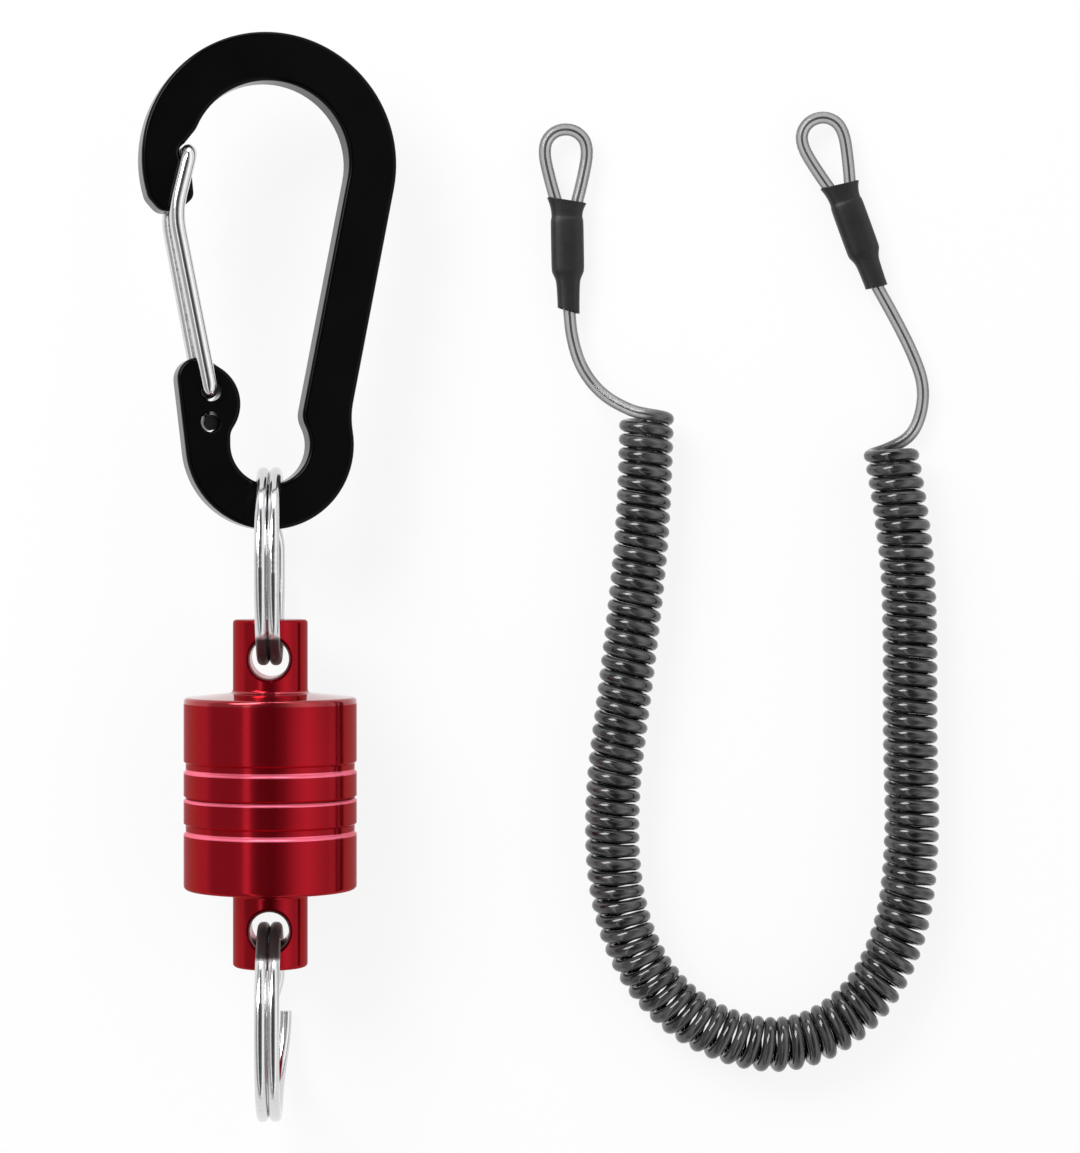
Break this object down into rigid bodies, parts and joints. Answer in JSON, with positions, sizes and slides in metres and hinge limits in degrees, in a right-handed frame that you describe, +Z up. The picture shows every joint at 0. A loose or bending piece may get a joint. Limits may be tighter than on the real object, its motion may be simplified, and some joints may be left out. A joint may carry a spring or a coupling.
{
  "type": "magnetic net release with coiled lanyard",
  "caption": "Two-part magnetic tether release with a split ring at each end, a wire-gate snap hook, and a separate coiled lanyard with crimped loops.",
  "frame": {"origin": "on the table, under the middle of the release's length and width, the lanyard left out", "axes": "+Y along the release towards the snap hook, +Z up from the table, +X towards the lanyard that lies beside it"},
  "size_m": [0.1174, 0.1563, 0.0285],
  "materials": {
    "black_anodised": "satin black anodised aluminium plate",
    "steel_wire": "polished stainless wire",
    "ring_steel": "polished stainless spring wire",
    "red_anodised": "glossy red anodised turned aluminium",
    "magnet_nickel": "nickel plated",
    "backing_steel": "zinc plated steel",
    "glue": "cured clear adhesive",
    "clear_cord": "smoke-tinted clear plastic over a dark core",
    "coil_cord": "smoke-tinted glossy plastic, wound into a coil",
    "ferrule_metal": "crimped aluminium",
    "shrink_sleeve": "matt black heat-shrink"
  },
  "bodies": {
    "upper_half": {"upper_housing": "red_anodised", "upper_magnet": "magnet_nickel", "upper_backing_disc": "backing_steel", "upper_glue_ring": "glue"},
    "lower_half": {"lower_housing": "red_anodised", "lower_magnet": "magnet_nickel", "lower_backing_disc": "backing_steel", "lower_glue_ring": "glue"},
    "upper_ring": {"upper_split_ring": "ring_steel"},
    "lower_ring": {"lower_split_ring": "ring_steel"},
    "hook": {"carabiner_frame": "black_anodised"},
    "gate": {"gate_wire": "steel_wire"},
    "lanyard": {"left_loop": "clear_cord", "left_lead": "clear_cord", "lanyard_coil": "coil_cord", "right_lead": "clear_cord", "right_loop": "clear_cord", "left_ferrule": "ferrule_metal", "right_ferrule": "ferrule_metal", "left_sleeve": "shrink_sleeve", "right_sleeve": "shrink_sleeve"}
  },
  "joints": [
    {"name": "pull_off", "type": "slide", "parent": "upper_half", "child": "lower_half", "axis": [0, -1, 0], "range_m": [0, 0.03], "stiffness_N_per_m": 100, "springref_m": -0.15},
    {"name": "upper_ring_swing", "type": "hinge", "parent": "upper_half", "child": "upper_ring", "pos_m": [0, -0.01175, 0.01425], "axis": [0, 0, 1], "range_deg": [-15, 85]},
    {"name": "hook_swing", "type": "hinge", "parent": "upper_ring", "child": "hook", "pos_m": [-0.0003, 0.01, 0.01425], "axis": [0.9781, 0, -0.2079], "range_deg": [-75, 95]},
    {"name": "gate_swing", "type": "hinge", "parent": "hook", "child": "gate", "pos_m": [-0.00871, 0.0243, 0.01604], "axis": [-0.2079, 0, -0.9781], "range_deg": [0, 15], "stiffness_Nm_per_rad": 0.02, "springref_deg": -34.38},
    {"name": "lower_ring_swing", "type": "hinge", "parent": "lower_half", "child": "lower_ring", "pos_m": [0, -0.05075, 0.01425], "axis": [0, 0, 1], "range_deg": [-85, 85]},
    {"name": "lanyard_lift", "type": "slide", "parent": "upper_half", "child": "lanyard", "axis": [0, 0, 1], "range_m": [0, 0.1]}
  ]
}
